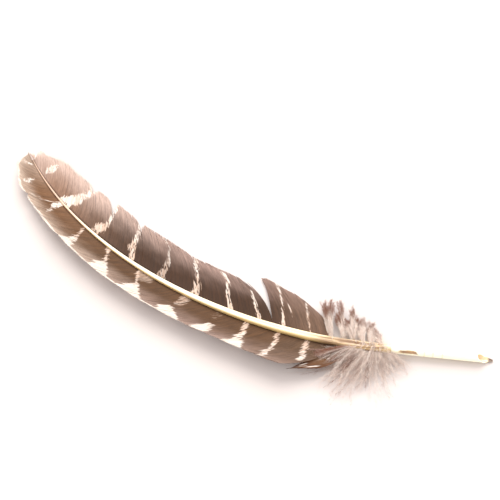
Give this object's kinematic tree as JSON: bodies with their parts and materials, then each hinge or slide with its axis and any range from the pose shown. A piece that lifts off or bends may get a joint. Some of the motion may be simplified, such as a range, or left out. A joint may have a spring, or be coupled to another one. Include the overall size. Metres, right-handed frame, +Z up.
{
  "type": "quill pen",
  "caption": "Quill pen cut from a barred wing feather: hollow barrel with split nib, swept shaft, webs of barbs on both sides and downy tufts at the base.",
  "frame": {"origin": "middle of the bounding box at table level, with the quill lying on its back on the table", "axes": "+X along the quill's length towards the nib, +Y towards the wide trailing web, +Z up from the table"},
  "size_m": [0.2885, 0.065, 0.0106],
  "materials": {
    "barrel_keratin": "translucent pale yellow keratin tube, satin, faint lengthwise fibres",
    "nib_keratin": "same keratin, stained brown by ink towards the tip",
    "dried_pulp": "shrivelled amber-brown pulp",
    "pulp_membrane": "thin dry papery domes",
    "shaft_keratin": "cream keratin with a furrow and fine lengthwise striations, tan near the down",
    "pith": "white spongy pith",
    "leading_barbs": "warm brown barbs with ragged off-white bars and a pale edge",
    "trailing_barbs": "grey-brown barbs with narrow ragged off-white bars, paler to the edge",
    "down": "pale fluffy down with brown tips"
  },
  "bodies": {
    "quill": {"quill_barrel": "barrel_keratin", "dried_pulp": "dried_pulp", "pulp_cap_1": "pulp_membrane", "pulp_cap_2": "pulp_membrane", "pulp_cap_3": "pulp_membrane", "rachis_cortex": "shaft_keratin", "rachis_pith": "pith", "leading_web_tip": "leading_barbs", "leading_web_2": "leading_barbs", "leading_web_3": "leading_barbs", "leading_web_4": "leading_barbs", "leading_web_5": "leading_barbs", "leading_web_6": "leading_barbs", "leading_web_7": "leading_barbs", "leading_web_8": "leading_barbs", "leading_web_9": "leading_barbs", "leading_web_base": "leading_barbs", "trailing_web_tip": "trailing_barbs", "trailing_web_2": "trailing_barbs", "trailing_web_3": "trailing_barbs", "trailing_web_4": "trailing_barbs", "trailing_web_5": "trailing_barbs", "trailing_web_6": "trailing_barbs", "trailing_web_7": "trailing_barbs", "trailing_web_8": "trailing_barbs", "trailing_web_base": "trailing_barbs", "leading_lock_2": "leading_barbs", "down_tuft_1": "down", "down_tuft_2": "down", "down_tuft_3": "down", "down_tuft_4": "down", "down_tuft_5": "down", "semiplume_1": "down", "semiplume_2": "down", "semiplume_3": "down", "semiplume_4": "down"},
    "tine_leading": {"nib_tine_leading": "nib_keratin"},
    "tine_trailing": {"nib_tine_trailing": "nib_keratin"},
    "parted_web": {"trailing_web_9": "trailing_barbs"},
    "loose_lock_trailing_1": {"trailing_lock_1": "trailing_barbs"},
    "loose_lock_trailing_2": {"trailing_lock_2": "trailing_barbs"},
    "loose_lock_leading": {"leading_lock_1": "leading_barbs"}
  },
  "joints": [
    {"name": "tine_spread_leading", "type": "hinge", "parent": "quill", "child": "tine_leading", "pos_m": [0.14079, 0.02492, 0.00098], "axis": [-0.0195, -0.0076, -0.9998], "range_deg": [0, 2.5], "stiffness_Nm_per_rad": 0.002},
    {"name": "tine_spread_trailing", "type": "hinge", "parent": "quill", "child": "tine_trailing", "pos_m": [0.13945, 0.02837, 0.00098], "axis": [0.0195, 0.0076, 0.9998], "range_deg": [0, 2.5], "stiffness_Nm_per_rad": 0.002},
    {"name": "web_parting_swing", "type": "hinge", "parent": "quill", "child": "parted_web", "pos_m": [0.03122, -0.00573, 0.00139], "axis": [0, 0, 1], "range_deg": [0, 3], "stiffness_Nm_per_rad": 0.0002},
    {"name": "lock_swing_trailing_1", "type": "hinge", "parent": "quill", "child": "loose_lock_trailing_1", "pos_m": [0.06403, 0.00129, 0.00198], "axis": [0, 0, 1], "range_deg": [0, 10], "stiffness_Nm_per_rad": 0.00005},
    {"name": "lock_swing_trailing_2", "type": "hinge", "parent": "quill", "child": "loose_lock_trailing_2", "pos_m": [0.06784, 0.00238, 0.00206], "axis": [0, 0, 1], "range_deg": [0, 6], "stiffness_Nm_per_rad": 0.00005},
    {"name": "lock_swing_leading", "type": "hinge", "parent": "quill", "child": "loose_lock_leading", "pos_m": [0.07399, -0.00083, 0.00216], "axis": [0, 0, 1], "range_deg": [0, 4], "stiffness_Nm_per_rad": 0.00005}
  ]
}
